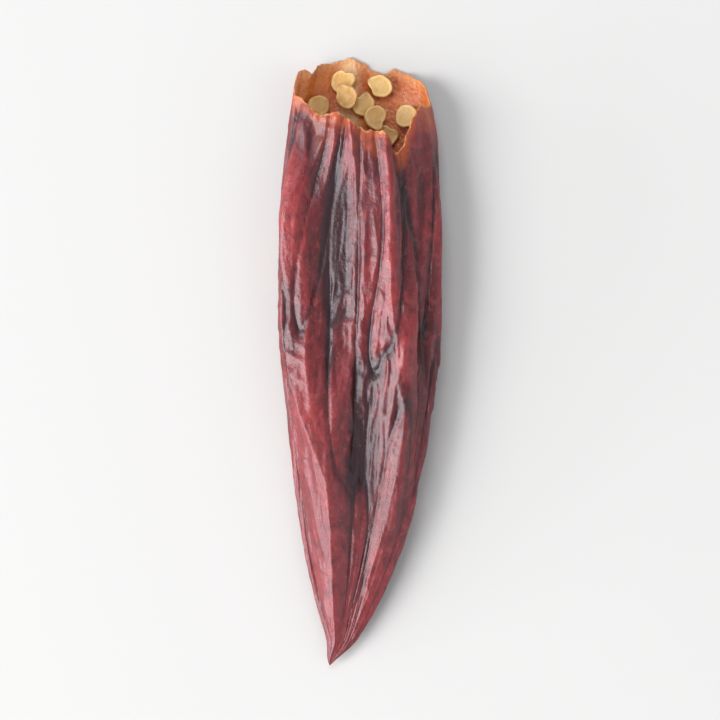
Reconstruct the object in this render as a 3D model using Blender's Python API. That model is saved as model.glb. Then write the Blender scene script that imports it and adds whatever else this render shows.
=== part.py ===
"""A dried chilli pepper pod with its stalk snapped off, lying flat, and the seeds in its torn mouth.

Metres, +Z up. The pod lies along Y, its mouth towards +Y and its tip towards -Y. The origin is on the surface
that the pod lies on, below the middle of its bounding box. A place on the pod is given by its share, 0 at the
mouth's furthest lip and 1 at the tip, and its angle round the section, 0 at the +X edge and 90 degrees up.
"""

from collections import namedtuple

import bpy
import numpy as np
from mathutils import Matrix, Vector
from mathutils.bvhtree import BVHTree

# Driving dimensions of the pod.
POD_LENGTH = 0.092
POD_WIDTH = 0.0240  # across the flattened pod, where it is widest
POD_THICKNESS = 0.0105
WALL = 0.0006

# The section along the pod. A taper of power p and shape q leaves (1 - share**p)**q of the size.
WIDTH_TAPER = (4, 0.9)
THICKNESS_TAPER = (3, 0.8)
NECK_NARROWING = 0.34  # share of the width lost at the mouth
NECK_FLATTENING = 0.05  # share of the thickness lost at the mouth
NECK_REACH = 0.13  # share of the length over which the neck widens
EDGE_SHARPNESS = 1.15  # 1 is an ellipse; more pinches the two side edges
PRESSED_FLAT = 0.0008  # depth of the underside that lies flat on the surface
ANGLE_SPACING = 0.2  # spreads the drawn points evenly round the flattened section

# The centreline: a slow bend in plan, a tip that hooks to one side and lifts, and a twist of the section.
BOW = 0.0008
BOW_WAVE = (0.1, 1.3)  # half waves at the mouth, and along the pod
TIP_HOOK = 0.0023
HOOK_BEGIN = 0.72
TIP_LIFT = 0.0022
LIFT_BEGIN = 0.6
TWIST_DEGREES = 7.0
TWIST_WAVE = (-0.9, 3.4)  # radians of the wave at the mouth, and along the pod

# The torn mouth. The upper wall is broken further back than the lower one.
MOUTH_CUTBACK = 0.0100
CUTBACK_SHARPNESS = 1.3
MOUTH_SLANT = 0.0016
MOUTH_RAGGEDNESS = 0.0006
RAGGED_WAVES = ((5, 1.0, 1.0), (9, 0.7, 0.0))  # waves round the mouth, height and radians of shift
TEAR_DEPTH = 0.0045
TEAR_ANGLE = 62.0
TEAR_SPREAD = 9.0

# The hollow inside, which ends short of the solid tip, and the ribs on its wall.
HOLLOW_END = 0.86
RIB_HEIGHT = 0.0006
RIB_ANGLES = (14.0, 168.0, 262.0)
RIB_SPREAD = 12.0
RIB_END = 0.62

# Long folds of the skin: positive height is a crest, negative is a valley or a dent. Each runs from its first
# angle, nearer the mouth, to its second, changing over about turn_at, and is there from its begin to its end.
# Its power is 2 for a round fold and nears 1 for a sharp one.
Fold = namedtuple("Fold", "angles turn_at spread height begin end power")
FOLDS = (
    Fold(angles=(157, 112), turn_at=0.60, spread=21, height=0.0020, begin=0.15, end=1.15, power=1.1),
    Fold(angles=(106, 78), turn_at=0.52, spread=24, height=-0.0022, begin=0.12, end=1.10, power=2),
    Fold(angles=(70, 48), turn_at=0.45, spread=15, height=0.0011, begin=0.02, end=0.85, power=1.3),
    Fold(angles=(134, 128), turn_at=0.30, spread=13, height=-0.0009, begin=-0.10, end=0.52, power=2),
    Fold(angles=(160, 148), turn_at=0.75, spread=16, height=-0.0008, begin=0.58, end=1.15, power=2),
    Fold(angles=(88, 84), turn_at=0.65, spread=13, height=-0.0020, begin=0.57, end=0.74, power=2),
    Fold(angles=(38, 27), turn_at=0.50, spread=12, height=-0.0009, begin=0.10, end=0.80, power=2),
    Fold(angles=(236, 252), turn_at=0.50, spread=18, height=-0.0010, begin=0.05, end=0.90, power=2),
    Fold(angles=(310, 292), turn_at=0.60, spread=15, height=-0.0009, begin=0.22, end=0.85, power=2),
)
FOLD_TURN = 0.15  # share of the length over which a fold changes angle, either side of turn_at
FOLD_FADE = 0.14  # share of the length over which a fold rises or dies out
FOLD_SHRINK = 1.1  # how quickly folds shrink as the pod narrows

# Seeds: flat discs with a thick rim and a small beak.
SEED_DIAMETER = 0.0037
SEED_THICKNESS = 0.0008
SEED_DISH = 0.0001
SEED_FACE = 0.80  # share of the radius inside the bevelled edge
SEED_BEAK = 0.12  # as a share of the diameter
BEAK_SPREAD = 24.0
SEED_CLEARANCE = 0.0003
SEED_PITCH = SEED_DIAMETER * (1 + SEED_BEAK) + SEED_CLEARANCE
# Each seed's place, as a share of the clear width from the middle and in pitches back from the lower lip, and
# its turn. Where two overlap in plan, the later one leans on the earlier one.
Seed = namedtuple("Seed", "across back turn")
SEEDS = (
    Seed(across=-0.42, back=0.90, turn=20),
    Seed(across=0.46, back=1.05, turn=155),
    Seed(across=-0.88, back=1.75, turn=250),
    Seed(across=0.04, back=1.70, turn=75),
    Seed(across=0.90, back=2.05, turn=310),
    Seed(across=-0.46, back=2.50, turn=190),
    Seed(across=0.44, back=2.75, turn=15),
    Seed(across=-0.30, back=1.45, turn=120),
    Seed(across=0.28, back=2.10, turn=285),
    Seed(across=-0.92, back=3.10, turn=60),
    Seed(across=0.02, back=3.60, turn=220),
    Seed(across=0.84, back=3.50, turn=340),
    Seed(across=-0.52, back=4.40, turn=105),
    Seed(across=0.40, back=4.75, turn=30),
    Seed(across=-0.10, back=5.80, turn=170),
    Seed(across=0.62, back=6.30, turn=265),
    Seed(across=-0.60, back=7.10, turn=50),
    Seed(across=0.10, back=8.40, turn=200),
    Seed(across=-0.35, back=10.20, turn=325),
    Seed(across=0.30, back=12.00, turn=135),
)

# How a seed finds its resting place. Its faces are tried for clearance at these shares of its radius, flat or
# leaning by each of LEANS degrees towards each of LEAN_SIDES, and it may move sideways by each of SIDE_STEPS.
SEED_RINGS = (1, 0.85, 0.7, 0.5, 0.3)
LEANS = (8, 16, 24, 34, 44)
LEAN_SIDES = 12
SIDE_STEPS = sorted(np.linspace(-2, 2, 33), key=abs)
UP = Vector((0, 0, 1))
DOWN = Vector((0, 0, -1))

# How finely the meshes are drawn.
AROUND = 40
OUTER_STATIONS = 46
INNER_STATIONS = 32
LAST_RING = 0.985
SEED_SIDES = 12

SKIN_COLOUR = (0.20, 0.018, 0.014, 1.0)
SKIN_ROUGHNESS = 0.38
SEED_COLOUR = (0.80, 0.55, 0.24, 1.0)
SEED_ROUGHNESS = 0.55


def bell(distance, spread, power=2):
    """A bump of height 1 that falls away over the spread."""
    return np.exp(-(np.abs(distance / spread) ** power))


def ease(value):
    """A smooth step from 0 to 1 as the value goes from 0 to 1."""
    value = np.clip(value, 0, 1)
    return value * value * (3 - 2 * value)


def turned(angle, other):
    """The signed difference of two angles in degrees, from -180 to 180."""
    return (angle - other + 180) % 360 - 180


def tapered(share, taper):
    power, shape = taper
    return np.clip(1 - share**power, 0, 1) ** shape


def half_width(share):
    return POD_WIDTH / 2 * tapered(share, WIDTH_TAPER) * (1 - NECK_NARROWING * np.exp(-share / NECK_REACH))


def half_height(share):
    neck = 1 - NECK_FLATTENING * np.exp(-share / NECK_REACH)
    return POD_THICKNESS / 2 * tapered(share, THICKNESS_TAPER) * neck


def relief(share, angle):
    """How far the long folds raise or sink the skin. They fade with the section towards the tip."""
    size = half_width(share) / (POD_WIDTH / 2)
    total = 0 * angle
    for fold in FOLDS:
        changed = ease((share - fold.turn_at) / (2 * FOLD_TURN) + 0.5)
        centre = fold.angles[0] + (fold.angles[1] - fold.angles[0]) * changed
        present = ease((share - fold.begin) / FOLD_FADE) * ease((fold.end - share) / FOLD_FADE)
        total = total + fold.height * present * bell(turned(angle, centre), fold.spread, fold.power)
    return total * size**FOLD_SHRINK


def centreline(share):
    """The middle of the section: its place across the pod, its height, and its twist in radians."""
    bow = BOW * np.sin(np.pi * (BOW_WAVE[0] + BOW_WAVE[1] * share))
    hook = TIP_HOOK * np.clip((share - HOOK_BEGIN) / (1 - HOOK_BEGIN), 0, 1) ** 2
    lift = TIP_LIFT * np.clip((share - LIFT_BEGIN) / (1 - LIFT_BEGIN), 0, 1) ** 2
    twist = np.radians(TWIST_DEGREES) * np.sin(TWIST_WAVE[0] + TWIST_WAVE[1] * share)
    return bow - hook, half_height(share) + lift, twist


def skin(share, angle):
    """Points of the outer surface, before the pod is set down, as an array with x, y, z last."""
    share, angle = np.broadcast_arrays(np.asarray(share, float), np.asarray(angle, float))
    cosine, sine = np.cos(np.radians(angle)), np.sin(np.radians(angle))
    wide, high = half_width(share), half_height(share)
    out_x, out_z = cosine * high, sine * wide
    length = np.hypot(out_x, out_z) + 1e-9
    raised = relief(share, angle)
    x = wide * cosine + raised * out_x / length
    z = high * sine * np.abs(sine) ** (EDGE_SHARPNESS - 1) + raised * out_z / length
    across, height, twist = centreline(share)
    return np.stack(
        [
            x * np.cos(twist) - z * np.sin(twist) + across,
            POD_LENGTH * (0.5 - share),
            np.maximum(x * np.sin(twist) + z * np.cos(twist) + height - PRESSED_FLAT, 0),
        ],
        axis=-1,
    )


def outward(share, angle):
    """Unit normals of the outer surface, from the skin a little way either side."""
    step_share, step_angle = 2e-3, 1.0
    along = skin(share + step_share, angle) - skin(share - step_share, angle)
    around = skin(share, angle + step_angle) - skin(share, angle - step_angle)
    normal = np.cross(around, along)
    return normal / np.linalg.norm(normal, axis=-1, keepdims=True)


def lip(angle):
    """The share at which the torn mouth starts, at this angle."""
    radians = np.radians(angle)
    cutback = MOUTH_CUTBACK * (0.5 + 0.5 * np.sin(radians)) ** CUTBACK_SHARPNESS
    slant = MOUTH_SLANT * (0.5 + 0.5 * np.cos(radians))
    ragged = sum(height * (1 + np.sin(waves * radians + shift)) for waves, height, shift in RAGGED_WAVES)
    tear = TEAR_DEPTH * bell(turned(angle, TEAR_ANGLE), TEAR_SPREAD)
    return (cutback + slant + MOUTH_RAGGEDNESS * ragged + tear) / POD_LENGTH


def wall_at(share, angle):
    """The wall's thickness, with the ribs that run down the inside and fade towards the tip."""
    rib = sum(bell(turned(angle, centre), RIB_SPREAD) for centre in RIB_ANGLES)
    fade = np.clip(1 - share / RIB_END, 0, 1) ** 0.5
    return WALL + RIB_HEIGHT * rib * fade


def closed_faces(rings, count):
    """Faces over rings of count points, closed by one point before the first ring and one after the last."""
    first_point, last_point = rings * count, rings * count + 1
    last_ring = (rings - 1) * count
    around = [(i, (i + 1) % count) for i in range(count)]
    faces = [
        (ring + i, ring + count + i, ring + count + j, ring + j)
        for ring in range(0, last_ring, count)
        for i, j in around
    ]
    faces += [(i, j, first_point) for i, j in around]
    faces += [(last_ring + j, last_ring + i, last_point) for i, j in around]
    return faces


def pod_mesh():
    """The pod as one closed surface: outside from tip to lip, over the torn edge, and down the inside."""
    turn = np.linspace(0, 2 * np.pi, AROUND, endpoint=False)
    angle = np.degrees(turn + ANGLE_SPACING * np.sin(2 * turn))
    start = lip(angle)
    outer_steps = np.linspace(1, 0, OUTER_STATIONS)[:, None]
    inner_steps = np.linspace(0, 1, INNER_STATIONS)[:, None]
    outer_share = start + (LAST_RING - start) * outer_steps
    inner_share = start + (HOLLOW_END - start) * inner_steps
    outer = skin(outer_share, angle)
    inner = skin(inner_share, angle) - outward(inner_share, angle) * wall_at(inner_share, angle)[..., None]
    tip = skin(1.0, 0.0)
    hollow_end = inner[-1].mean(axis=0)
    points = np.concatenate([outer.reshape(-1, 3), inner.reshape(-1, 3), [tip, hollow_end]])
    return points, closed_faces(OUTER_STATIONS + INNER_STATIONS, AROUND)


def seed_mesh():
    """One seed lying flat at the origin: a disc with a beak, bevelled at its rim and dished in its middle."""
    turn = np.linspace(0, 2 * np.pi, SEED_SIDES, endpoint=False)
    radius = SEED_DIAMETER / 2 * (1 + 2 * SEED_BEAK * bell(turned(np.degrees(turn), 0), BEAK_SPREAD))
    outline = np.stack([radius * np.cos(turn), radius * np.sin(turn), 0 * turn], axis=-1)
    face = np.array([SEED_FACE, SEED_FACE, 1])
    top = (0, 0, SEED_THICKNESS / 2)
    centre = SEED_THICKNESS / 2 - SEED_DISH
    rings = [outline * face + top, outline, outline * face - top]
    return np.concatenate([*rings, [(0, 0, centre), (0, 0, -centre)]]), closed_faces(3, SEED_SIDES)


def seed_turns(turn):
    """The ways a seed may lean when it comes to rest: flat, or towards each side by each lean."""
    spin = Matrix.Rotation(np.radians(turn), 3, "Z")
    yield spin
    for lean in LEANS:
        for side in np.linspace(0, 360, LEAN_SIDES, endpoint=False):
            axis = Vector((np.cos(np.radians(side)), np.sin(np.radians(side)), 0))
            yield Matrix.Rotation(np.radians(lean), 3, axis) @ spin


def let_down(x, y, height, turn, points, solids):
    """A seed's lowest place here that is clear of everything, or None where there is no room for it."""
    lowest = None
    for leaning in seed_turns(turn):
        offsets = [leaning @ point for point in points]
        below = [solids.ray_cast(Vector((x + p.x, y + p.y, height)), DOWN)[0] for p in offsets]
        lift = max((hit.z if hit else 0.0) - p.z for hit, p in zip(below, offsets)) + SEED_CLEARANCE
        if lowest is not None and lift >= lowest.translation.z:
            continue
        place = Matrix.Translation((x, y, lift)) @ leaning.to_4x4()
        above = [solids.ray_cast(place @ point, UP) for point in points]
        if all(hit is None or (normal.z < 0 and gap > SEED_CLEARANCE) for hit, normal, _, gap in above):
            lowest = place
    return lowest


def resting_place(seed, points, solids, lip_y):
    """Where a seed lies: as near to its stated place as there is room, to one side or the other."""
    y = lip_y - seed.back * SEED_PITCH
    share = 0.5 - y / POD_LENGTH
    across, height, _ = centreline(share)
    clear_width = half_width(share) - WALL - SEED_PITCH / 2
    for step in SIDE_STEPS:
        if abs(seed.across + step) <= 1:
            x = across + (seed.across + step) * clear_width
            place = let_down(x, y, height, seed.turn, points, solids)
            if place is not None:
                return place
    raise ValueError(f"no room for a seed {seed.back} pitches back: the pod is too small for its seeds")


def material(name, colour, roughness):
    made = bpy.data.materials.new(name)
    made.use_nodes = True
    shader = made.node_tree.nodes["Principled BSDF"]
    shader.inputs["Base Color"].default_value = colour
    shader.inputs["Roughness"].default_value = roughness
    shader.inputs["Metallic"].default_value = 0.0
    return made


def mesh_of(name, points, faces, finish):
    mesh = bpy.data.meshes.new(name)
    mesh.from_pydata([tuple(point) for point in points], [], faces)
    mesh.shade_smooth()
    mesh.materials.append(finish)
    return mesh


def add_object(name, mesh):
    made = bpy.data.objects.new(name, mesh)
    bpy.context.scene.collection.objects.link(made)
    return made


def build():
    for old in list(bpy.data.objects):
        bpy.data.objects.remove(old)
    pod_points, pod_faces = pod_mesh()
    low, high = pod_points.min(axis=0), pod_points.max(axis=0)
    to_origin = Matrix.Translation((-(low[0] + high[0]) / 2, -(low[1] + high[1]) / 2, 0))
    skin_finish = material("chilli_skin", SKIN_COLOUR, SKIN_ROUGHNESS)
    add_object("pod", mesh_of("pod", pod_points, pod_faces, skin_finish)).matrix_world = to_origin

    seed_points, seed_faces = seed_mesh()
    seed_finish = material("chilli_seed", SEED_COLOUR, SEED_ROUGHNESS)
    shared_mesh = mesh_of("seed", seed_points, seed_faces, seed_finish)
    tried_points = [Vector(point * (shrink, shrink, 1)) for point in seed_points for shrink in SEED_RINGS]
    laid_points = [Vector(point) for point in pod_points]
    laid_faces = list(pod_faces)
    for number, seed in enumerate(SEEDS, start=1):
        place = resting_place(seed, tried_points, BVHTree.FromPolygons(laid_points, laid_faces), high[1])
        add_object(f"seed_{number:02d}", shared_mesh).matrix_world = to_origin @ place
        first = len(laid_points)
        laid_points += [place @ Vector(point) for point in seed_points]
        laid_faces += [[first + corner for corner in face] for face in seed_faces]


build()
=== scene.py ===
"""The looks of the dried chilli pepper: a leathery, creased pod and its seeds, seen from straight above.

Metres, +Z up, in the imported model's frame. The pod lies along Y, its mouth towards +Y. A place on its skin
is given by its share of the length, 0 at the furthest lip and 1 at the tip, and its turn round the section,
0 at the +X edge.
"""

import itertools
from collections import namedtuple

import bpy
import numpy as np
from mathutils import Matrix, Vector


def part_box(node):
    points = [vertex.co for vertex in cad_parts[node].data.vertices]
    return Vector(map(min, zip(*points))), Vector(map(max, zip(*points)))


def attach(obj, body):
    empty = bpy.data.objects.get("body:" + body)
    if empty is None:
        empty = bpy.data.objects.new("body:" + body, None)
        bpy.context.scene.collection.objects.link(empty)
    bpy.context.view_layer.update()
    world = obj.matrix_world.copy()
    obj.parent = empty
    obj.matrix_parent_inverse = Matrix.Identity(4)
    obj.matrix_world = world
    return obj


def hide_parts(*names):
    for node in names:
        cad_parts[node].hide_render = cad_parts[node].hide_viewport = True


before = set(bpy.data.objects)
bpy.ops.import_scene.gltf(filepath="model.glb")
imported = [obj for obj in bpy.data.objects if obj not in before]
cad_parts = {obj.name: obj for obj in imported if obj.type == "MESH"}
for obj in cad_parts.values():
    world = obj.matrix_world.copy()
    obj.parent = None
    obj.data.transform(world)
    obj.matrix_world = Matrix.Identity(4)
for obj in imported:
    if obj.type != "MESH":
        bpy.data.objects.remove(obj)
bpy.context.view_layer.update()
MM = 0.001

# ------------------------------------------------------------------------------------------------------------
# The pod's form, with the same values as the CAD model.

POD_LENGTH = 92 * MM
POD_WIDTH = 24 * MM
POD_THICKNESS = 10.5 * MM
WALL = 0.6 * MM
WIDTH_TAPER = (4, 0.9)
THICKNESS_TAPER = (3, 0.8)
NECK_NARROWING = 0.34
NECK_FLATTENING = 0.05
NECK_REACH = 0.13
EDGE_SHARPNESS = 1.15
PRESSED_FLAT = 0.8 * MM
ANGLE_SPACING = 0.2
BOW = 0.8 * MM
BOW_WAVE = (0.1, 1.3)
TIP_HOOK = 2.3 * MM
HOOK_BEGIN = 0.72
TIP_LIFT = 2.2 * MM
LIFT_BEGIN = 0.6
TWIST_DEGREES = 7.0
TWIST_WAVE = (-0.9, 3.4)
MOUTH_CUTBACK = 10 * MM
CUTBACK_SHARPNESS = 1.3
MOUTH_SLANT = 1.6 * MM
MOUTH_RAGGEDNESS = 0.6 * MM
RAGGED_WAVES = ((5, 1.0, 1.0), (9, 0.7, 0.0))
TEAR_DEPTH = 4.5 * MM
TEAR_ANGLE = 62.0
TEAR_SPREAD = 9.0
HOLLOW_END = 0.86
RIB_HEIGHT = 0.6 * MM
RIB_ANGLES = (14.0, 168.0, 262.0)
RIB_SPREAD = 12.0
RIB_END = 0.62
Fold = namedtuple("Fold", "angles turn_at spread height begin end power")
FOLDS = (
    Fold((157, 112), 0.60, 21, 2.0 * MM, 0.15, 1.15, 1.1),
    Fold((106, 78), 0.52, 24, -2.2 * MM, 0.12, 1.10, 2),
    Fold((70, 48), 0.45, 15, 1.1 * MM, 0.02, 0.85, 1.3),
    Fold((134, 128), 0.30, 13, -0.9 * MM, -0.10, 0.52, 2),
    Fold((160, 148), 0.75, 16, -0.8 * MM, 0.58, 1.15, 2),
    Fold((88, 84), 0.65, 13, -2.0 * MM, 0.57, 0.74, 2),
    Fold((38, 27), 0.50, 12, -0.9 * MM, 0.10, 0.80, 2),
    Fold((236, 252), 0.50, 18, -1.0 * MM, 0.05, 0.90, 2),
    Fold((310, 292), 0.60, 15, -0.9 * MM, 0.22, 0.85, 2),
)
FOLD_TURN = 0.15
FOLD_FADE = 0.14
FOLD_SHRINK = 1.1

# How finely the skin is drawn.
AROUND = 256
OUTER_STATIONS = 270
INNER_STATIONS = 84
INNER_CROWDING = 1.3  # power that draws the lining's stations towards the lip
RIM_STATIONS = 3
LAST_RING = 0.996
FAR_FROM_LIP = 60  # what the two closing points have as their distance to the lip, in mm
SHARE_STEP = 0.002  # the steps that a normal is measured over
TURN_STEP = 0.02

# Wrinkles that the CAD model leaves out. Each layer's cell is its size round the pod and along it. Where a
# layer is drawn as ridges, power is how sharp they are, and level the value of theirs that is left level
# with the skin.
SKIN_RADIUS = 9 * MM
Layer = namedtuple("Layer", "around along height shift power level", defaults=(2.0, 0.0))
WARP = Layer(10 * MM, 34 * MM, 0.30, 3.1)
WARP_ALONG = Layer(8 * MM, 18 * MM, 4 * MM, 7.7)
CALM = Layer(8 * MM, 22 * MM, 0.9, 12.4)  # where there are more fine wrinkles and where there are fewer
BUCKLES = Layer(6.2 * MM, 40 * MM, 0.95 * MM, 0.0, level=0.45)
CREASES = Layer(3.4 * MM, 30 * MM, -0.55 * MM, 21.3, power=7.0)
PLEATS = Layer(1.9 * MM, 16 * MM, 0.42 * MM, 33.3, level=0.5)
PUCKERS = Layer(1.7 * MM, 7.5 * MM, 0.30 * MM, 41.9, level=0.45)
CROSS_WRINKLES = Layer(4.2 * MM, 2.3 * MM, 0.16 * MM, 63.5)
HAIRLINES = Layer(0.95 * MM, 6.5 * MM, 0.11 * MM, 97.2, power=3, level=0.35)
PLEAT_REACH = 0.13  # share of the length
LEAST_BUSY = 0.30  # what is left of the fine wrinkles where there are fewest
LEAST_CREASED = 0.4  # what is left of the creases there
SMOOTH_FACETS = 0.60  # how far the buckles calm down on the tapered end
FACETS_BEGIN = (0.50, 0.66)  # shares of the length between which they calm down
CREASE_CALMING = 0.2  # power by which the creases calm down with them
WRINKLE_SHRINK = 0.9  # power by which all wrinkles shrink with the section
FOLD_PAINTED_SHADING = 0.22  # how much the long folds add to the height that paints light on the skin's raised folds and shade in its sunken ones

# The torn edge and the lining.
FRAY = Layer(2.4 * MM, 10 * MM, 0.55 * MM, 80.2)
FRAY_STEPS = (1, 2, 4)
CURL = Layer(6 * MM, 10 * MM, 0.9 * MM, 51.0)
CURL_REACH = 2.6 * MM
SWAY = Layer(3 * MM, 1.2 * MM, 0.055, 58.4)  # sideways wander of the tear's two edges, in radians
LIP_WALL = 0.28 * MM
LIP_THINNING = 5 * MM
RIM_BULGE = 0.12 * MM
COARSE_LOST_INSIDE = 0.15  # how much of the coarse and the fine wrinkles the lining doesn't follow
FINE_LOST_INSIDE = 0.6
LINING_SMOOTHINGS = 18
LINING_FLOOR = 0.35 * MM  # the lining's lowest height
SEED_GAP = 0.10 * MM  # the least distance from the lining to a seed
SEED_REACH = 1.1  # a seed's reach from its middle, beak and all, in its radii
MOST_MOVED = 0.4 * MM  # how far the lining gives way to a seed at most

# The very tip.
BEAK_LEAN = 1.1 * MM  # how far the last few millimetres lean sideways
BEAK_BEGIN = 0.950
BEAK_SHARPNESS = 1.2

LATTICE = 256
NOISE_GAIN = 1.7
shuffler = np.random.default_rng(20)
SHUFFLE = shuffler.permutation(LATTICE)
GRADIENTS = shuffler.normal(size=(LATTICE, 3))
GRADIENTS /= np.linalg.norm(GRADIENTS, axis=1, keepdims=True)


def noise(points):
    """Smooth gradient noise, from about -1 to 1, at points given in cells with x, y, z last."""
    cell = np.floor(points).astype(int)
    inside = points - cell
    blend = inside**3 * (inside * (inside * 6 - 15) + 10)
    total = 0
    for corner in itertools.product((0, 1), repeat=3):
        at = cell + corner
        index = 0
        for axis in range(3):
            index = SHUFFLE[(index + at[..., axis]) % LATTICE]
        weight = np.prod(np.where(np.array(corner) == 1, blend, 1 - blend), axis=-1)
        total = total + weight * np.sum(GRADIENTS[index] * (inside - corner), axis=-1)
    return NOISE_GAIN * total


def layer_noise(layer, turn, along):
    """Noise whose cells have the layer's size on the skin, and which meets itself all the way round."""
    turn, along = np.broadcast_arrays(turn, along)
    radius = SKIN_RADIUS / layer.around
    place = np.stack([radius * np.cos(turn), along / layer.along, radius * np.sin(turn)], axis=-1)
    return noise(place + layer.shift)


def ridges(layer, turn, along):
    """The layer's noise turned into sharp lines with broad hollows between them."""
    return np.clip(1 - np.abs(layer_noise(layer, turn, along)), 0, 1) ** layer.power - layer.level


def bell(distance, spread, power=2):
    return np.exp(-(np.abs(distance / spread) ** power))


def ease(value):
    value = np.clip(value, 0, 1)
    return value * value * (3 - 2 * value)


def turned(angle, other):
    """How far one angle in degrees is turned from another, from -180 to 180."""
    return (angle - other + 180) % 360 - 180


def tapered(share, taper):
    power, shape = taper
    return np.clip(1 - share**power, 0, 1) ** shape


def half_width(share):
    return POD_WIDTH / 2 * tapered(share, WIDTH_TAPER) * (1 - NECK_NARROWING * np.exp(-share / NECK_REACH))


def half_height(share):
    neck = 1 - NECK_FLATTENING * np.exp(-share / NECK_REACH)
    return POD_THICKNESS / 2 * tapered(share, THICKNESS_TAPER) * neck


def folds(share, angle):
    """The long folds, which the CAD model has too."""
    total = 0 * angle
    for fold in FOLDS:
        changed = ease((share - fold.turn_at) / (2 * FOLD_TURN) + 0.5)
        centre = fold.angles[0] + (fold.angles[1] - fold.angles[0]) * changed
        present = ease((share - fold.begin) / FOLD_FADE) * ease((fold.end - share) / FOLD_FADE)
        total = total + fold.height * present * bell(turned(angle, centre), fold.spread, fold.power)
    return total * (half_width(share) / (POD_WIDTH / 2)) ** FOLD_SHRINK


def centreline(share):
    """The middle of the section: its place across the pod, its height, and its twist in radians."""
    bow = BOW * np.sin(np.pi * (BOW_WAVE[0] + BOW_WAVE[1] * share))
    hook = TIP_HOOK * np.clip((share - HOOK_BEGIN) / (1 - HOOK_BEGIN), 0, 1) ** 2
    lift = TIP_LIFT * np.clip((share - LIFT_BEGIN) / (1 - LIFT_BEGIN), 0, 1) ** 2
    twist = np.radians(TWIST_DEGREES) * np.sin(TWIST_WAVE[0] + TWIST_WAVE[1] * share)
    return bow - hook, half_height(share) + lift, twist


def angle_at(turn):
    """The section's angle in degrees. Equal turns are about equally far apart on the flattened section."""
    return np.degrees(turn + ANGLE_SPACING * np.sin(2 * turn))


def skin(share, turn):
    """The CAD model's outer surface."""
    share, turn = np.broadcast_arrays(np.asarray(share, float), np.asarray(turn, float))
    angle = angle_at(turn)
    cosine, sine = np.cos(np.radians(angle)), np.sin(np.radians(angle))
    wide, high = half_width(share), half_height(share)
    out_x, out_z = cosine * high, sine * wide
    length = np.hypot(out_x, out_z) + 1e-9
    raised = folds(share, angle)
    x = wide * cosine + raised * out_x / length
    z = high * sine * np.abs(sine) ** (EDGE_SHARPNESS - 1) + raised * out_z / length
    across, height, twist = centreline(share)
    return np.stack(
        [
            x * np.cos(twist) - z * np.sin(twist) + across,
            POD_LENGTH * (0.5 - share),
            np.maximum(x * np.sin(twist) + z * np.cos(twist) + height - PRESSED_FLAT, 0),
        ],
        axis=-1,
    )


def outward(share, turn):
    """Unit normals of the CAD model's outer surface."""
    along = skin(share + SHARE_STEP, turn) - skin(share - SHARE_STEP, turn)
    around = skin(share, turn + TURN_STEP) - skin(share, turn - TURN_STEP)
    normal = np.cross(around, along)
    return normal / (np.linalg.norm(normal, axis=-1, keepdims=True) + 1e-12)


def beak_lean(share):
    """How far the very tip leans sideways, which leaves a blunt shoulder on its other side."""
    return BEAK_LEAN * ease((share - BEAK_BEGIN) / (1 - BEAK_BEGIN)) ** BEAK_SHARPNESS


def lip(turn):
    """The share at which the torn mouth starts: the CAD model's edge, with finer fraying."""
    radians = np.radians(angle_at(turn))
    cutback = MOUTH_CUTBACK * (0.5 + 0.5 * np.sin(radians)) ** CUTBACK_SHARPNESS
    slant = MOUTH_SLANT * (0.5 + 0.5 * np.cos(radians))
    ragged = sum(height * (1 + np.sin(waves * radians + shift)) for waves, height, shift in RAGGED_WAVES)
    tear = TEAR_DEPTH * bell(turned(angle_at(turn), TEAR_ANGLE), TEAR_SPREAD)
    fray = 0
    for step in FRAY_STEPS:
        finer = FRAY._replace(around=FRAY.around / step, shift=FRAY.shift + step)
        fray = fray + FRAY.height / step * np.abs(layer_noise(finer, turn, 0.0))
    return (cutback + slant + MOUTH_RAGGEDNESS * ragged + tear + fray) / POD_LENGTH


def wrinkles(share, turn):
    """Heights of the coarse and of the fine wrinkles, in metres, and how deep in a crease each place is."""
    along = POD_LENGTH * share
    turn, along = (
        turn + WARP.height * layer_noise(WARP, turn, along),
        along + WARP_ALONG.height * layer_noise(WARP_ALONG, turn, along),
    )
    size = (half_width(share) / (POD_WIDTH / 2)) ** WRINKLE_SHRINK
    calm = 1 - SMOOTH_FACETS * ease((share - FACETS_BEGIN[0]) / (FACETS_BEGIN[1] - FACETS_BEGIN[0]))
    busy = LEAST_BUSY + (1 - LEAST_BUSY) * ease(0.5 + CALM.height * layer_noise(CALM, turn, along))
    crease = ridges(CREASES, turn, along) * (LEAST_CREASED + (1 - LEAST_CREASED) * busy)
    crease = crease * calm**CREASE_CALMING
    coarse = BUCKLES.height * calm * ridges(BUCKLES, turn, along) + CREASES.height * crease
    coarse = coarse + PLEATS.height * np.exp(-share / PLEAT_REACH) * ridges(PLEATS, turn, along)
    fine = PUCKERS.height * busy * ridges(PUCKERS, turn, along)
    fine = fine + CROSS_WRINKLES.height * busy**2 * ridges(CROSS_WRINKLES, turn, along)
    fine = fine + HAIRLINES.height * ridges(HAIRLINES, turn, along)
    return coarse * size, fine * size, crease


def near_lip(share, start):
    return np.exp(-(share - start) * POD_LENGTH / CURL_REACH)


def curl(share, turn, start):
    """How far the torn edge bends in or out."""
    return CURL.height * layer_noise(CURL, turn, 0.0) * near_lip(share, start)


def swayed(share, turn, start):
    """The turn, made to wander near the tear, so that its edges are ragged sideways too."""
    near = bell(turned(angle_at(turn), TEAR_ANGLE), 2 * TEAR_SPREAD) * near_lip(share, start)
    return turn + SWAY.height * near * layer_noise(SWAY, turn, share * POD_LENGTH)


def ribs(share, turn):
    rib = sum(bell(turned(angle_at(turn), centre), RIB_SPREAD) for centre in RIB_ANGLES)
    return RIB_HEIGHT * rib * np.clip(1 - share / RIB_END, 0, 1) ** 0.5


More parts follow.
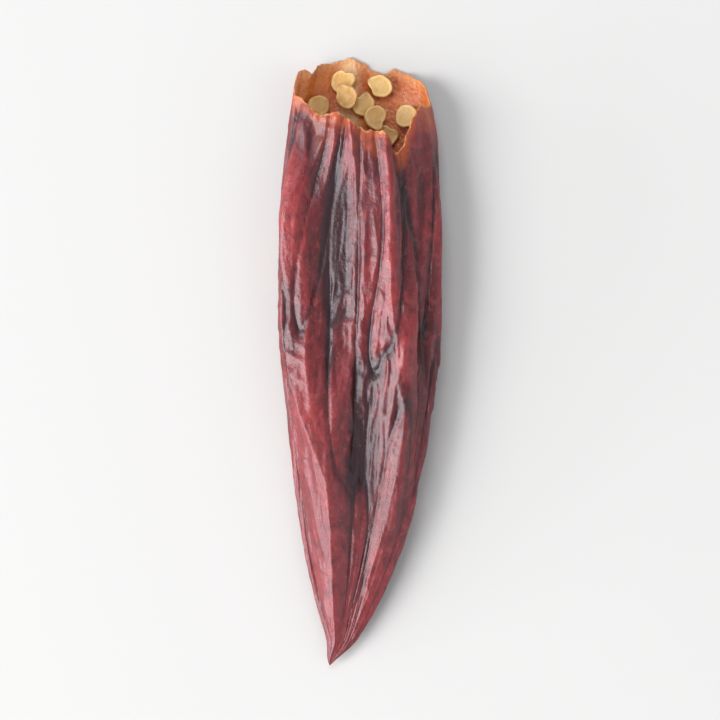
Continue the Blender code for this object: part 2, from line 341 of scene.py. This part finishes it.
def closed_faces(rings, count):
    """Faces over rings of count points, closed by a point before the first ring and one after the last.

    Those two points come after the rings' own.
    """
    first_point, last_point = rings * count, rings * count + 1
    last_ring = (rings - 1) * count
    around = [(i, (i + 1) % count) for i in range(count)]
    faces = [
        (ring + i, ring + count + i, ring + count + j, ring + j)
        for ring in range(0, last_ring, count)
        for i, j in around
    ]
    faces += [(i, j, first_point) for i, j in around]
    faces += [(last_ring + j, last_ring + i, last_point) for i, j in around]
    return faces


def new_piece(name, points, faces, material, slot, *nodes):
    """A smooth mesh that stands for its CAD nodes and rides on the one body."""
    mesh = bpy.data.meshes.new(name)
    mesh.from_pydata([tuple(point) for point in points], [], faces)
    mesh.shade_smooth()
    mesh.materials.append(material)
    piece = bpy.data.objects.new(name, mesh)
    bpy.context.scene.collection.objects.link(piece)
    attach(piece, "root")
    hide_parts(*nodes)
    return piece


def set_attribute(piece, name, values):
    attribute = piece.data.attributes.new(name, "FLOAT", "POINT")
    attribute.data.foreach_set("value", np.asarray(values, np.float32).ravel())


def smoothed(rings, amount):
    """Rings of points, each drawn towards the middle of its two neighbours in its ring."""
    for _ in range(LINING_SMOOTHINGS):
        between = (np.roll(rings, 1, axis=1) + np.roll(rings, -1, axis=1)) / 2
        rings = rings + 0.5 * amount * (between - rings)
    return rings


def clear_of_seeds(points, facing):
    """Moves the lining's points outwards, away from the hollow, where they come too near a seed."""
    for node in seed_nodes():
        middle, axes, radius, half_thickness = seed_axes(node)
        local = (points - middle) @ axes
        beside = np.hypot(local[..., 0], local[..., 1]) - SEED_REACH * radius
        above = np.abs(local[..., 2]) - half_thickness
        outside = np.hypot(np.maximum(beside, 0), np.maximum(above, 0))
        distance = np.where((beside < 0) & (above < 0), np.maximum(beside, above), outside)
        points = points + facing * np.clip(SEED_GAP - distance, 0, MOST_MOVED)[..., None]
    return points


def build_pod(material):
    """The pod's whole skin: outside from tip to lip, over the torn edge, and inside to the hollow's end."""
    turn = np.linspace(0, 2 * np.pi, AROUND, endpoint=False)
    start = lip(turn)

    def from_lip(share):
        return (share - start) * POD_LENGTH / MM

    inner_steps = np.linspace(0, 1, INNER_STATIONS)[:, None] ** INNER_CROWDING
    outer_share = start + (LAST_RING - start) * np.linspace(1, 0, OUTER_STATIONS)[:, None]
    inner_share = start + (HOLLOW_END - start) * inner_steps
    outer_turn, inner_turn = swayed(outer_share, turn, start), swayed(inner_share, turn, start)

    coarse, fine, crease = wrinkles(outer_share, outer_turn)
    bent = curl(outer_share, turn, start)
    outer = skin(outer_share, outer_turn)
    outer = outer + outward(outer_share, outer_turn) * (coarse + fine + bent)[..., None]
    outer[..., 0] -= beak_lean(outer_share)
    outer[..., 2] = np.maximum(outer[..., 2], 0)

    inner_coarse, inner_fine, _ = wrinkles(inner_share, inner_turn)
    thick = 1 - np.exp(-(inner_share - start) * POD_LENGTH / LIP_THINNING)
    rib = ribs(inner_share, inner_turn)
    wall = LIP_WALL + thick * (WALL - LIP_WALL + rib)
    followed = (1 - COARSE_LOST_INSIDE * thick) * inner_coarse + (1 - FINE_LOST_INSIDE * thick) * inner_fine
    inner_raise = followed + curl(inner_share, turn, start) - wall
    facing = outward(inner_share, inner_turn)
    inner = smoothed(skin(inner_share, inner_turn) + facing * inner_raise[..., None], thick[..., None])
    inner[..., 2] = np.maximum(inner[..., 2], LINING_FLOOR)

    # The CAD model's pod was centred after it was drawn, so the skin moves as far as its smooth form has to.
    box_low, box_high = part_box("pod")
    smooth = skin(outer_share, turn)
    smooth_low, smooth_high = smooth.min(axis=(0, 1)), smooth.max(axis=(0, 1))
    shift = (np.array(box_low) + np.array(box_high) - smooth_low - smooth_high) / 2
    shift[2] = 0
    inner = clear_of_seeds(inner + shift, facing) - shift

    steps = (np.arange(RIM_STATIONS) + 1)[:, None, None] / (RIM_STATIONS + 1)
    rim = outer[-1] + (inner[0] - outer[-1]) * steps
    rim[..., 1] += RIM_BULGE * np.sin(np.pi * steps[..., 0])
    rings = np.concatenate([outer, rim, inner])
    tip = skin(1.0, 0.0) - (beak_lean(1.0), 0, 0)
    points = np.concatenate([rings.reshape(-1, 3), [tip, inner[-1].mean(axis=0)]]) + shift
    pod = new_piece("pod_skin", points, closed_faces(len(rings), AROUND), material, "skin", "pod")

    # What the material follows: values outside, on the rim and inside, and at the two closing points.
    # The relief that the colour follows: painted light where it stands up, painted shade where it sinks.
    relief = coarse + fine + FOLD_PAINTED_SHADING * folds(outer_share, angle_at(outer_turn))
    flat = np.zeros((RIM_STATIONS, AROUND))
    values = {
        "lining": (0 * outer_share, flat + steps[..., 0], 0 * inner_share + 1, (0, 1)),
        # Painted light and shade follow this: lighter on ridges, darker in hollows.
        "height": (relief / MM, flat, 0.5 * inner_coarse / MM, (0, 0)),
        # The distance from the lip, which also paints shade deeper into the hollow.
        "from_lip": (from_lip(outer_share), flat, from_lip(inner_share), (FAR_FROM_LIP, FAR_FROM_LIP)),
        # The share of the length; the colour lightens towards the tip with it, partly as painted light.
        "along": (outer_share, flat + start, inner_share, (1, HOLLOW_END)),
        # How deep in a crease each place is, which the colour darkens as painted shade.
        "crease": (crease, flat, 0 * inner_share, (0, 0)),
        "rib": (0 * outer_share, flat, rib / RIB_HEIGHT, (0, 0)),
    }
    for name, (outside, on_rim, inside, ends) in values.items():
        set_attribute(pod, name, np.append(np.concatenate([outside, on_rim, inside]), ends))


# ------------------------------------------------------------------------------------------------------------
# Seeds.

SEED_SIDES = 44
# A seed's face from its middle to its rim: shares of its radius, and of half its thickness.
SEED_PROFILE = (
    (0.20, 0.70),
    (0.42, 0.67),
    (0.60, 0.67),
    (0.75, 0.76),
    (0.85, 0.95),
    (0.91, 0.92),
    (0.96, 0.70),
    (0.99, 0.34),
)
SEED_OUTLINE = 0.93  # the outline's radius between its waves, in the CAD seed's radii
SEED_WAVES = ((0.045, 2, 1.0), (0.028, 3, 2.3), (0.012, 7, 5.1))  # height, number, shift from seed to seed
SEED_BEAK = 0.24
SEED_BEAK_SPREAD = 19
SEED_NOTCH = 0.14
SEED_NOTCH_ANGLE = 44
SEED_NOTCH_SPREAD = 17
SEED_FILL = 0.80  # the face's height, which leaves room for the warp
SEED_LOPSIDEDNESS = 0.10
LOPSIDED_SHIFT = 1.7  # from seed to seed
SEED_WARP = 0.30
TONE_STEP = 0.618  # from seed to seed, so that the tones are well mixed


def seed_nodes():
    return sorted(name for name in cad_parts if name.startswith("seed_"))


def seed_axes(node):
    """A CAD seed's middle, its axes towards its beak, sideways and up, its radius and half its thickness."""
    points = np.array([vertex.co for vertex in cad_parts[node].data.vertices])
    points = np.unique(np.round(points, 7), axis=0)
    _, _, axes = np.linalg.svd(points - points.mean(axis=0), full_matrices=False)
    up = axes[2] * np.sign(axes[2][2] + 1e-9)
    middle = points.mean(axis=0)
    flat = points - middle - np.outer((points - middle) @ up, up)
    beak = flat[np.argmax(np.linalg.norm(flat, axis=1))]
    along = beak / np.linalg.norm(beak)
    side = np.cross(up, along)
    radius = np.ptp((points - middle) @ side) / 2
    half_thickness = np.ptp((points - middle) @ up) / 2
    return middle, np.stack([along, side, up], axis=1), radius, half_thickness


def build_seed(node, number, material):
    """A seed in its CAD seed's place: a disc with a raised rim, a beak and a notch, slightly warped."""
    middle, axes, radius, half_thickness = seed_axes(node)
    turn = np.linspace(0, 2 * np.pi, SEED_SIDES, endpoint=False)
    degrees = np.degrees(turn)
    waves = sum(height * np.sin(count * turn + shift * number) for height, count, shift in SEED_WAVES)
    beak = bell(turned(degrees, 0), SEED_BEAK_SPREAD)
    notch = bell(turned(degrees, SEED_NOTCH_ANGLE), SEED_NOTCH_SPREAD)
    outline = radius * (SEED_OUTLINE + waves + SEED_BEAK * beak - SEED_NOTCH * notch)
    levels = [*SEED_PROFILE, (1.0, 0.0), *[(share, -height) for share, height in reversed(SEED_PROFILE)]]
    rings = []
    for share, height in levels:
        low_side = SEED_LOPSIDEDNESS * np.sin(2 * turn + LOPSIDED_SHIFT * number) * (1 - share)
        warp = -SEED_WARP * np.cos(2 * turn + number) * share**2
        z = half_thickness * (SEED_FILL * height * (1 + low_side) + warp)
        rings.append(np.stack([outline * share * np.cos(turn), outline * share * np.sin(turn), z], axis=-1))
    cap = SEED_FILL * SEED_PROFILE[0][1] * half_thickness
    points = np.concatenate([*rings, [(0, 0, cap), (0, 0, -cap)]]) @ axes.T + middle
    faces = closed_faces(len(rings), SEED_SIDES)
    seed = new_piece(f"seed_skin_{number:02d}", points, faces, material, "seed", node)
    shares = np.array([share for share, _ in levels])[:, None]
    set_attribute(seed, "rim", np.append(shares + 0 * turn, (0, 0)))
    set_attribute(seed, "beak", np.append(shares**2 * beak, (0, 0)))
    set_attribute(seed, "tone", np.full(len(points), (TONE_STEP * number) % 1))


# ------------------------------------------------------------------------------------------------------------
# Materials.

# Noise in object space: its scale, how much that is less along the pod, and how the noise is made.
NOISE_DEFAULTS = (1.0, 4.0, 0.0, 0.0, "FBM")
Noise = namedtuple("Noise", "scale squeeze detail shift distortion kind", defaults=NOISE_DEFAULTS)
SKIN_NOISES = {
    "streaks": Noise(240, 0.14, 6, distortion=0.5),
    "hairs": Noise(1100, 0.12, 4, 6.0),
    "patches": Noise(90, 0.45, 5, 2.0, 0.8),
    "grain": Noise(2600, 0.6, 4, 5.0),
    "mottle": Noise(900, 0.7, 5, 14.0),
    "speckled": Noise(420, shift=9.0),
    "thinness": Noise(330, detail=3, shift=4.0),
    "torn": Noise(1400, shift=1.0),
    "frayed": Noise(1200, shift=8.0),
    "blotches": Noise(260, 0.8, 5, 3.0),
    "wrinkle": Noise(380, 0.34, 8, distortion=0.7, kind="RIDGED_MULTIFRACTAL"),
    "pores": Noise(1500, 0.8, 4, 11.0),
}
SEED_MOTTLE = Noise(800, detail=5)
SPECK_SCALE = 1300.0
BLISTER_SCALE = 1900.0
PIT_SCALE = 4200.0

# Tints are laid over a colour one after another. A tint comes in where what it follows goes from one value
# to another, up to its most.
Tint = namedtuple("Tint", "follows begin full most colour")
SKIN_REDS = ((0.080, 0.0075, 0.0090, 1), (0.195, 0.0160, 0.0180, 1))
SKIN_TINTS_AND_PAINTED_SHADING = (
    Tint("patches", 0.50, 0.74, 0.80, (0.040, 0.0065, 0.0090, 1)),
    Tint("hairs", 0.46, 0.66, 0.18, (0.260, 0.032, 0.034, 1)),
    # Lighter red towards the tip: partly the tip's own colour, partly painted light on its lit facets.
    Tint("along", 0.45, 0.80, 0.42, (0.270, 0.036, 0.040, 1)),
    # Painted light: lighter red where wrinkles and folds stand up.
    Tint("height", 0.05, 0.75, 0.90, (0.280, 0.029, 0.030, 1)),
    Tint("mottle", 0.53, 0.68, 0.42, (0.035, 0.0050, 0.0062, 1)),
    Tint("mottle", 0.46, 0.34, 0.30, (0.380, 0.058, 0.056, 1)),
    # Painted shade: near black where wrinkles and folds sink.
    Tint("height", -0.10, -0.60, 1.0, (0.028, 0.0038, 0.0054, 1)),
    # Painted shade: near black down in the creases.
    Tint("crease", 0.25, 0.95, 0.80, (0.011, 0.0020, 0.0028, 1)),
    Tint("grain", 0.52, 0.70, 0.22, (0.020, 0.0035, 0.0040, 1)),
)
SPECK_COLOUR = (0.36, 0.13, 0.10, 1)
THIN_SKIN_COLOUR = (0.46, 0.085, 0.022, 1)
TORN_COLOURS = ((0.52, 0.16, 0.045, 1), (0.78, 0.42, 0.17, 1))
LINING_COLOURS = ((0.50, 0.085, 0.016, 1), (0.68, 0.190, 0.036, 1))
LINING_TINTS_AND_PAINTED_SHADE = (
    Tint("cells", 0.15, 0.60, 0.30, (0.72, 0.30, 0.085, 1)),
    Tint("rib", 0.25, 0.95, 0.80, (0.80, 0.52, 0.24, 1)),
    # Painted shade: the lining darkens away from the lip, deeper into the hollow.
    Tint("from_lip", 3.0, 26.0, 1.0, (0.24, 0.035, 0.014, 1)),
)
SEED_STRAWS = ((0.90, 0.62, 0.24, 1), (0.72, 0.38, 0.10, 1))
SEED_TINTS = (
    Tint("mottle", 0.35, 0.70, 0.60, (0.94, 0.72, 0.35, 1)),
    Tint("rim", 0.84, 0.66, 0.34, (0.58, 0.27, 0.06, 1)),
    Tint("rim", 0.93, 1.0, 0.45, (0.48, 0.21, 0.05, 1)),
    Tint("beak", 0.30, 1.0, 0.70, (0.36, 0.13, 0.03, 1)),
)
FLOOR_COLOUR = (0.65, 0.645, 0.64, 1)

# The thin skin and the frayed edge: how far from the lip each begins and is full, in mm, and how much its
# noise adds to that distance.
THIN_SKIN_REACH = (8.6, 3.6)
THINNESS_WANDER = 9.0
THIN_SKIN_MOST = 0.85
FRAYED_REACH = (1.05, 0.55)
FRAYED_WANDER = 1.5
SKIN_ROUGHNESSES = (0.27, 0.43)
GRAIN_ROUGHNESS = 0.12
SEED_ROUGHNESSES = (0.36, 0.52)

# Bumps: a strength and a distance.
WRINKLE_BUMP = (0.80, 0.32 * MM)
MOTTLE_BUMP = (0.35, 0.22 * MM)
PORE_BUMP = (0.60, 0.20 * MM)
PIT_BUMP = (0.45, 0.06 * MM)
SEED_MOTTLE_BUMP = (0.80, 0.22 * MM)
BLISTER_DEPTH = -0.45  # beside the wrinkles' relief


class Nodes:
    """A material's nodes, added and linked with few words."""

    def __init__(self, name):
        self.material = bpy.data.materials.new(name)
        self.material.use_nodes = True
        self.tree = self.material.node_tree
        self.shader = self.tree.nodes["Principled BSDF"]

    def add(self, kind, inputs=(), **settings):
        node = self.tree.nodes.new("ShaderNode" + kind)
        for key, value in settings.items():
            setattr(node, key, value)
        for key, value in dict(inputs).items():
            self.plug(node.inputs[key], value)
        return node

    def plug(self, socket, value):
        if isinstance(value, bpy.types.NodeSocket):
            self.tree.links.new(value, socket)
        else:
            socket.default_value = value

    def attributes(self, *names):
        return {name: self.add("Attribute", attribute_name=name).outputs["Fac"] for name in names}

    def place(self):
        return self.add("TexCoord").outputs["Object"]

    def noise(self, made):
        stretch, start = (1, made.squeeze, 1), (made.shift, made.shift, made.shift)
        mapped = self.add("Mapping", {"Vector": self.place(), "Scale": stretch, "Location": start}).outputs[0]
        inputs = {"Vector": mapped, "Scale": made.scale, "Detail": made.detail, "Distortion": made.distortion}
        return self.add("TexNoise", inputs, noise_type=made.kind).outputs["Fac"]

    def cells(self, scale, feature="F1", **inputs):
        inputs = {"Vector": self.place(), "Scale": scale, **inputs}
        return self.add("TexVoronoi", inputs, feature=feature).outputs["Distance"]

    def spread(self, value, low, high, to_low=0.0, to_high=1.0):
        inputs = {"Value": value, "From Min": low, "From Max": high, "To Min": to_low, "To Max": to_high}
        return self.add("MapRange", inputs, interpolation_type="SMOOTHSTEP").outputs["Result"]

    def mix(self, amount, first, second):
        node = self.add("Mix", data_type="RGBA")
        for index, value in ((0, amount), (6, first), (7, second)):
            self.plug(node.inputs[index], value)
        return node.outputs[2]

    def tinted(self, colour, tints, values):
        for tint in tints:
            amount = self.spread(values[tint.follows], tint.begin, tint.full, 0.0, tint.most)
            colour = self.mix(amount, colour, tint.colour)
        return colour

    def math(self, operation, first, second):
        return self.add("Math", {0: first, 1: second}, operation=operation).outputs[0]

    def bump(self, height, strength, distance, normal=None):
        inputs = {"Height": height, "Strength": strength, "Distance": distance}
        if normal is not None:
            inputs["Normal"] = normal
        return self.add("Bump", inputs).outputs["Normal"]

    def set(self, **values):
        for key, value in values.items():
            self.plug(self.shader.inputs[key.replace("_", " ")], value)


def skin_material():
    """Dry, leathery skin: crimson, orange by the torn edge, tan inside. Its colour holds painted light and
    shade: lighter red on ridges, raised folds and the tipward facets, near black in creases and hollows,
    darker deeper in the hollow.
    """
    n = Nodes("chilli_skin")
    v = n.attributes("height", "crease", "lining", "from_lip", "rib", "along")
    v.update({name: n.noise(made) for name, made in SKIN_NOISES.items()})
    v["cells"] = n.cells(BLISTER_SCALE, "SMOOTH_F1", Smoothness=0.6)

    # The reds, with painted light on ridges and the tipward facets and painted shade in creases and hollows.
    red = n.tinted(n.mix(n.spread(v["streaks"], 0.36, 0.66), *SKIN_REDS), SKIN_TINTS_AND_PAINTED_SHADING, v)
    speck = n.spread(n.cells(SPECK_SCALE), 0.16, 0.08)
    speckled = n.spread(v["speckled"], 0.54, 0.62, to_high=0.55)
    red = n.mix(n.math("MULTIPLY", speck, speckled), red, SPECK_COLOUR)

    # The thin skin by the lip, and the torn edge itself. Both end unevenly.
    uneven = n.math("ADD", v["from_lip"], n.math("MULTIPLY", v["thinness"], THINNESS_WANDER))
    thin = n.spread(uneven, *THIN_SKIN_REACH)
    red = n.mix(n.math("MULTIPLY", thin, THIN_SKIN_MOST), red, THIN_SKIN_COLOUR)
    torn = n.mix(v["torn"], *TORN_COLOURS)
    frayed = n.math("ADD", v["from_lip"], n.math("MULTIPLY", v["frayed"], FRAYED_WANDER))
    outside = n.mix(n.spread(frayed, *FRAYED_REACH), red, torn)

    # The lining's tan, with painted shade deeper in the hollow.
    tan = n.tinted(n.mix(n.spread(v["blotches"], 0.32, 0.70), *LINING_COLOURS), LINING_TINTS_AND_PAINTED_SHADE, v)
    tan = n.mix(n.spread(v["from_lip"], 1.6, 0.2, to_high=0.6), tan, torn)
    colour = n.mix(n.spread(v["lining"], 0.2, 0.9), outside, tan)

    rough = n.spread(v["patches"], 0.35, 0.7, *SKIN_ROUGHNESSES)
    rough = n.math("ADD", rough, n.math("MULTIPLY", v["grain"], GRAIN_ROUGHNESS))
    relief = n.mix(v["lining"], v["wrinkle"], n.math("MULTIPLY", v["cells"], BLISTER_DEPTH))
    normal = n.bump(relief, *WRINKLE_BUMP)
    normal = n.bump(v["mottle"], *MOTTLE_BUMP, normal)
    normal = n.bump(v["pores"], *PORE_BUMP, normal)
    n.set(Base_Color=colour, Roughness=rough, Normal=normal)
    n.set(Coat_Weight=0.24, Coat_Roughness=0.15, Specular_IOR_Level=0.5, Specular_Tint=(0.92, 0.90, 1.0, 1))
    return n.material


def seed_material():
    """Dry chilli seed: straw to amber, darker in its dished middle and at its beak, finely pitted."""
    n = Nodes("chilli_seed")
    v = n.attributes("rim", "tone", "beak")
    v["mottle"] = n.noise(SEED_MOTTLE)
    colour = n.tinted(n.mix(v["tone"], *SEED_STRAWS), SEED_TINTS, v)
    normal = n.bump(n.cells(PIT_SCALE), *PIT_BUMP)
    normal = n.bump(v["mottle"], *SEED_MOTTLE_BUMP, normal)
    rough = n.spread(v["mottle"], 0.3, 0.7, *SEED_ROUGHNESSES)
    n.set(Base_Color=colour, Roughness=rough, Normal=normal)
    return n.material


def floor_material():
    n = Nodes("pale_floor")
    n.set(Base_Color=FLOOR_COLOUR, Roughness=0.9, Specular_IOR_Level=0.1)
    return n.material


# ------------------------------------------------------------------------------------------------------------
# The studio.

FLOOR_SIZE = 3.0
FLOOR_GAP = 0.02 * MM
CAMERA_HEIGHT = 0.33
CAMERA_LENS = 110
CAMERA_NEAR = 0.01
WORLD_COLOUR = (0.94, 0.965, 1.0, 1)
HORIZON_BAND = (0.06, 0.50)  # heights on the sky's unit sphere between which it darkens
WORLD_STRENGTHS = (0.80, 0.43)  # below that band and above it
Lamp = namedtuple("Lamp", "name place size energy colour")
LAMPS = (
    Lamp("key", (-1.15, -0.45, 0.95), (1.40, 0.80), 30.0, (1.0, 0.98, 0.96)),
    Lamp("side", (-1.60, -0.35, 0.26), (1.60, 0.40), 16.0, (0.97, 0.98, 1.0)),
    Lamp("fill", (1.375, -0.625, 1.125), (1.5, 1.5), 5.0, (0.93, 0.96, 1.0)),
    Lamp("top", (-0.25, 1.125, 1.75), (0.75, 0.625), 10.0, (1.0, 1.0, 1.0)),
)


def studio_world():
    """A plain pale room, brighter towards the horizon than overhead."""
    world = bpy.data.worlds.new("studio")
    world.use_nodes = True
    tree = world.node_tree
    direction = tree.nodes.new("ShaderNodeTexCoord").outputs["Generated"]
    split = tree.nodes.new("ShaderNodeSeparateXYZ")
    ramp = tree.nodes.new("ShaderNodeMapRange")
    ramp.interpolation_type = "SMOOTHSTEP"
    for socket, value in zip(("From Min", "From Max", "To Min", "To Max"), (*HORIZON_BAND, *WORLD_STRENGTHS)):
        ramp.inputs[socket].default_value = value
    background = tree.nodes["Background"]
    background.inputs["Color"].default_value = WORLD_COLOUR
    tree.links.new(direction, split.inputs[0])
    tree.links.new(split.outputs["Z"], ramp.inputs["Value"])
    tree.links.new(ramp.outputs["Result"], background.inputs["Strength"])
    return world


def build_studio():
    scene = bpy.context.scene
    half = FLOOR_SIZE / 2
    mesh = bpy.data.meshes.new("floor")
    corners = [(x * half, y * half, -FLOOR_GAP) for x, y in ((-1, -1), (1, -1), (1, 1), (-1, 1))]
    mesh.from_pydata(corners, [], [(0, 1, 2, 3)])
    mesh.materials.append(floor_material())
    floor = bpy.data.objects.new("floor", mesh)
    scene.collection.objects.link(floor)

    for lamp in LAMPS:
        light = bpy.data.lights.new(lamp.name, "AREA")
        light.shape = "RECTANGLE"
        light.size, light.size_y = lamp.size
        light.energy = lamp.energy
        light.color = lamp.colour
        holder = bpy.data.objects.new(lamp.name, light)
        holder.location = lamp.place
        holder.rotation_euler = (-Vector(lamp.place)).to_track_quat("-Z", "Y").to_euler()
        holder.visible_camera = False
        scene.collection.objects.link(holder)

    scene.world = studio_world()
    scene.view_settings.view_transform = "Standard"


def build_camera():
    """The photo's view: straight down, with the pod's tip at the bottom of the picture."""
    low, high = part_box("pod")
    middle = (low + high) / 2
    camera_data = bpy.data.cameras.new("camera")
    camera_data.lens = CAMERA_LENS
    camera_data.clip_start = CAMERA_NEAR
    camera = bpy.data.objects.new("camera", camera_data)
    camera.location = (middle.x, middle.y, CAMERA_HEIGHT)
    bpy.context.scene.collection.objects.link(camera)
    bpy.context.scene.camera = camera


build_pod(skin_material())
seed_finish = seed_material()
for number, node in enumerate(seed_nodes(), start=1):
    build_seed(node, number, seed_finish)
build_studio()
build_camera()
